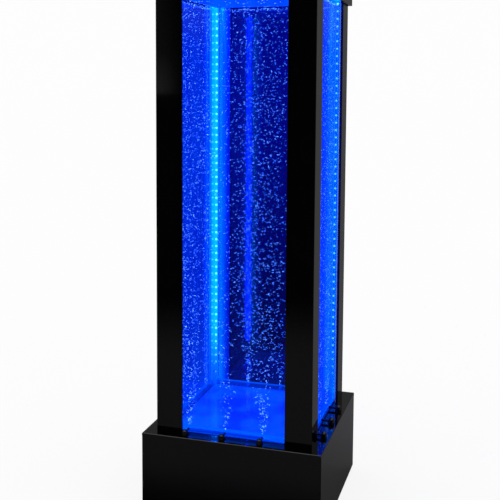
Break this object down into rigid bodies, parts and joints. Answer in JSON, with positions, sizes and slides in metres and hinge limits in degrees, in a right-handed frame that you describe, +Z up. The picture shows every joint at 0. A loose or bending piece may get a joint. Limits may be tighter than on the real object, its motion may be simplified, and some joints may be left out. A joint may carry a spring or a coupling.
{
  "type": "bubble column floor lamp",
  "caption": "Square bubble-wall floor lamp: clear water panels between black corner posts round an LED-lit hollow core, on a black box base with a lift-off cap.",
  "frame": {"origin": "on the floor under the middle of the base", "axes": "+Z up the column, -Y to the front, +X to the right; the rear wall with the power inlet and the switch faces +Y"},
  "size_m": [0.378, 0.378, 1.2],
  "materials": {
    "black_acrylic": "polished gloss black acrylic sheet",
    "black_sheet": "plain black sheet, matt",
    "screw_steel": "plated",
    "foot_rubber": "matt",
    "fitting_plastic": "moulded, glossy",
    "circuit_board": "lacquered board",
    "controller_metal": "anodised",
    "wire_sleeve": "satin sleeve",
    "pump_metal": "cast, bead blasted",
    "pump_plastic": "fine grain",
    "manifold_brass": "turned",
    "knob_red": "moulded, glossy",
    "pale_plastic": "moulded, satin",
    "hose_rubber": "smooth, satin",
    "white_acrylic": "opal white sheet, lit blue",
    "led_strip": "flexible board with LEDs, lit",
    "clear_acrylic": "clear polished sheet",
    "water": "clear water lit blue, with bubbles"
  },
  "bodies": {
    "root": {"base_front_wall": "black_acrylic", "base_rear_wall": "black_acrylic", "base_left_wall": "black_acrylic", "base_right_wall": "black_acrylic", "base_deck": "black_acrylic", "bottom_plate": "black_sheet", "base_corner_blocks": "black_sheet", "bottom_screws": "screw_steel", "feet": "foot_rubber", "power_inlet": "fitting_plastic", "switch_frame": "fitting_plastic", "power_board": "circuit_board", "led_controller": "controller_metal", "wiring": "wire_sleeve", "air_pump_case": "pump_metal", "air_pump_cover": "pump_plastic", "pump_mounts": "foot_rubber", "air_manifold": "manifold_brass", "check_valves": "pale_plastic", "air_rails": "pale_plastic", "air_hoses": "hose_rubber", "air_inlets": "fitting_plastic", "post_front_left": "black_acrylic", "post_front_right": "black_acrylic", "post_rear_left": "black_acrylic", "post_rear_right": "black_acrylic", "post_liners": "white_acrylic", "led_strip_front_left": "led_strip", "led_strip_front_right": "led_strip", "led_strip_rear_left": "led_strip", "led_strip_rear_right": "led_strip", "outer_sheet_front": "clear_acrylic", "outer_sheet_right": "clear_acrylic", "outer_sheet_rear": "clear_acrylic", "outer_sheet_left": "clear_acrylic", "inner_sheet_front": "clear_acrylic", "inner_sheet_right": "clear_acrylic", "inner_sheet_rear": "clear_acrylic", "inner_sheet_left": "clear_acrylic", "panel_rails_front": "clear_acrylic", "panel_rails_right": "clear_acrylic", "panel_rails_rear": "clear_acrylic", "panel_rails_left": "clear_acrylic", "water": "water", "core_floor": "white_acrylic", "core_ceiling": "white_acrylic", "core_collar": "white_acrylic", "post_blocks": "white_acrylic"},
    "cap": {"cap_front_wall": "black_acrylic", "cap_rear_wall": "black_acrylic", "cap_left_wall": "black_acrylic", "cap_right_wall": "black_acrylic", "cap_top": "black_acrylic", "cap_seat_blocks": "black_sheet"},
    "rocker": {"switch_rocker": "fitting_plastic"},
    "knob_front": {"valve_knob_front": "knob_red"},
    "knob_right": {"valve_knob_right": "knob_red"},
    "knob_rear": {"valve_knob_rear": "knob_red"},
    "knob_left": {"valve_knob_left": "knob_red"}
  },
  "joints": [
    {"name": "cap_lift", "type": "slide", "parent": "root", "child": "cap", "axis": [0, 0, 1], "range_m": [0, 0.15]},
    {"name": "rocker_tip", "type": "hinge", "parent": "root", "child": "rocker", "pos_m": [0.136, 0.1858, 0.045], "axis": [0, 0, 1], "range_deg": [-14, 0]},
    {"name": "front_valve_turn", "type": "hinge", "parent": "root", "child": "knob_front", "pos_m": [0, -0.036, 0.133], "axis": [0, 0, 1], "range_deg": [0, 90]},
    {"name": "right_valve_turn", "type": "hinge", "parent": "root", "child": "knob_right", "pos_m": [0.036, 0, 0.133], "axis": [0, 0, 1], "range_deg": [0, 90]},
    {"name": "rear_valve_turn", "type": "hinge", "parent": "root", "child": "knob_rear", "pos_m": [0, 0.036, 0.133], "axis": [0, 0, 1], "range_deg": [0, 90]},
    {"name": "left_valve_turn", "type": "hinge", "parent": "root", "child": "knob_left", "pos_m": [-0.036, 0, 0.133], "axis": [0, 0, 1], "range_deg": [0, 90]}
  ]
}
